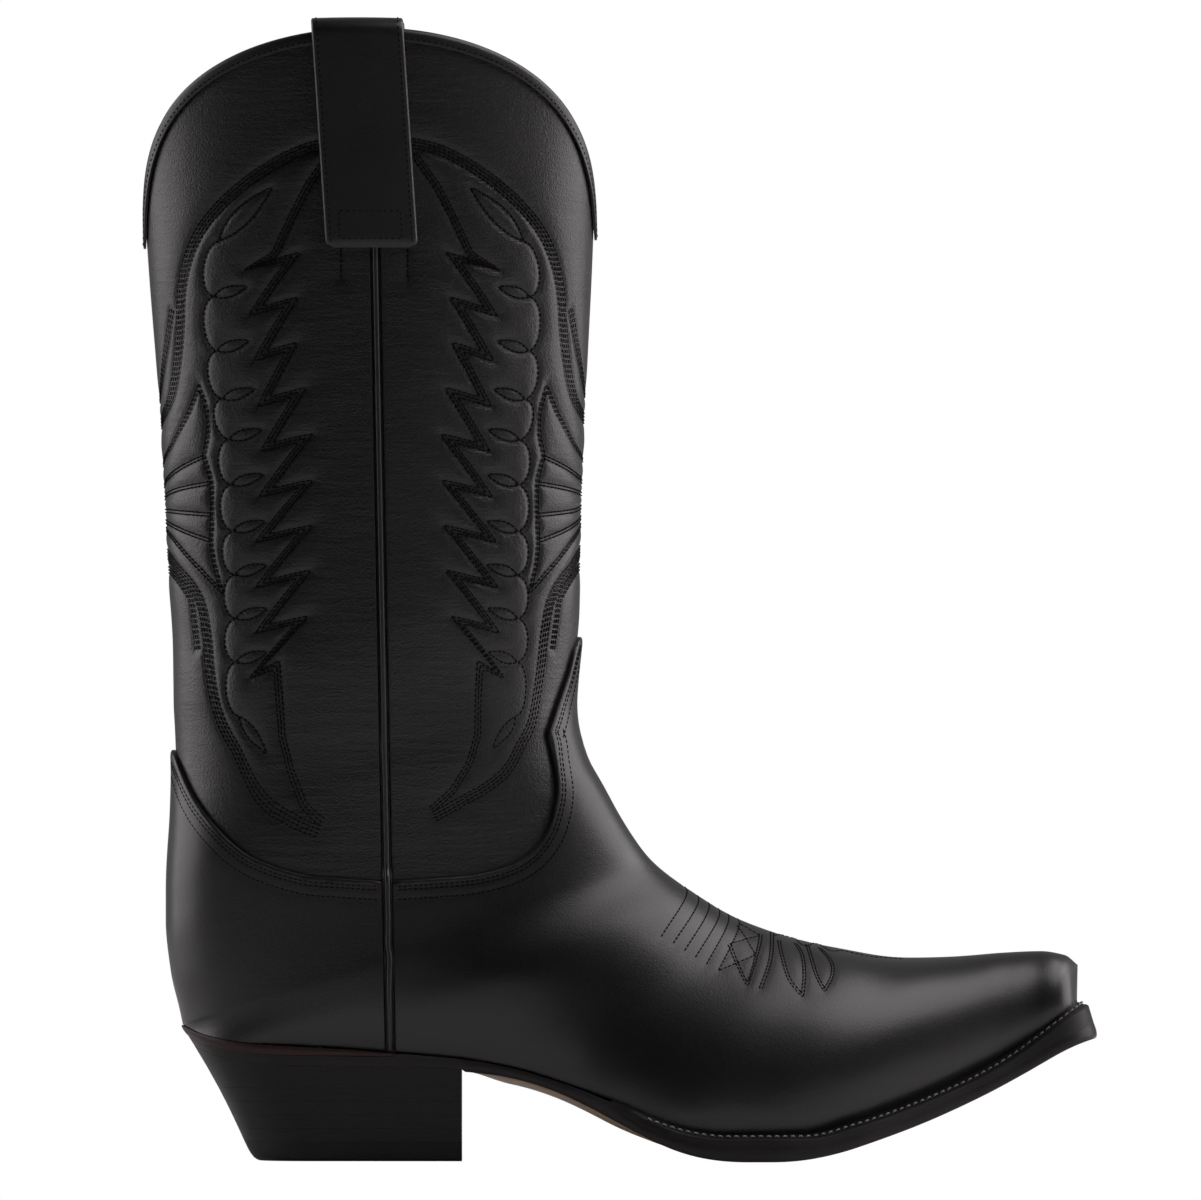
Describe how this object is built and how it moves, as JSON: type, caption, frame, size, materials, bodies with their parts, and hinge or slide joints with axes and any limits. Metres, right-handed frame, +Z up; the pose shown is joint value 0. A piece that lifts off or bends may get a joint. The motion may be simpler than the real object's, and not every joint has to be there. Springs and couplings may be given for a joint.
{
  "type": "cowboy boot",
  "caption": "Pull-on western boot: scalloped leg with decorative stitching, side seam piping, pull straps, pointed squared toe, welted leather sole and underslung stacked heel.",
  "frame": {"origin": "centre of the heel cap's flat underside, on the ground", "axes": "+X towards the toe, +Z up the leg, -Y towards the lateral side of this right boot"},
  "size_m": [0.3161, 0.101, 0.38],
  "materials": {
    "foot_leather": "polished black smooth leather with a fine grain",
    "leg_leather": "satin black leather with fine cross creases and rows of stitching",
    "trim_leather": "black trim leather, matt",
    "lining_leather": "natural tan lining leather",
    "stiffener": "pressed leather board",
    "insole_leather": "natural vegetable tanned leather",
    "cork": "granulated cork",
    "welt_leather": "black waxed welt leather",
    "rand_leather": "dark red-brown leather",
    "sole_leather": "natural leather sole with black waxed edges",
    "heel_leather": "stacked leather, black waxed and polished",
    "heel_rubber": "black rubber",
    "steel": "plain steel"
  },
  "bodies": {
    "boot": {"shaft_front": "leg_leather", "shaft_back": "leg_leather", "vamp": "foot_leather", "counter_cover": "foot_leather", "toe_box": "stiffener", "heel_counter": "stiffener", "vamp_lining": "lining_leather", "shaft_lining_front": "lining_leather", "shaft_lining_back": "lining_leather", "top_binding": "trim_leather", "side_seam_piping_lateral": "trim_leather", "side_seam_piping_medial": "trim_leather", "outsole": "sole_leather", "welt": "welt_leather", "heel_rand": "rand_leather", "insole": "insole_leather", "heel_pad": "lining_leather", "cork_filler": "cork", "shank": "steel", "heel_cap": "heel_rubber", "heel_lift_1": "heel_leather", "heel_nail_1": "steel", "cap_nail_1": "steel", "heel_lift_2": "heel_leather", "heel_nail_2": "steel", "cap_nail_2": "steel", "heel_lift_3": "heel_leather", "heel_nail_3": "steel", "cap_nail_3": "steel", "heel_lift_4": "heel_leather", "heel_nail_4": "steel", "cap_nail_4": "steel", "heel_lift_5": "heel_leather", "heel_nail_5": "steel", "cap_nail_5": "steel"},
    "strap_lateral": {"pull_strap_lateral": "trim_leather"},
    "strap_medial": {"pull_strap_medial": "trim_leather"}
  },
  "joints": [
    {"name": "strap_lateral_swing", "type": "hinge", "parent": "boot", "child": "strap_lateral", "pos_m": [0.0035, -0.0434, 0.306], "axis": [1, 0, 0], "range_deg": [0, 8]},
    {"name": "strap_medial_swing", "type": "hinge", "parent": "boot", "child": "strap_medial", "pos_m": [0.0035, 0.0434, 0.306], "axis": [-1, 0, 0], "range_deg": [0, 8]}
  ]
}
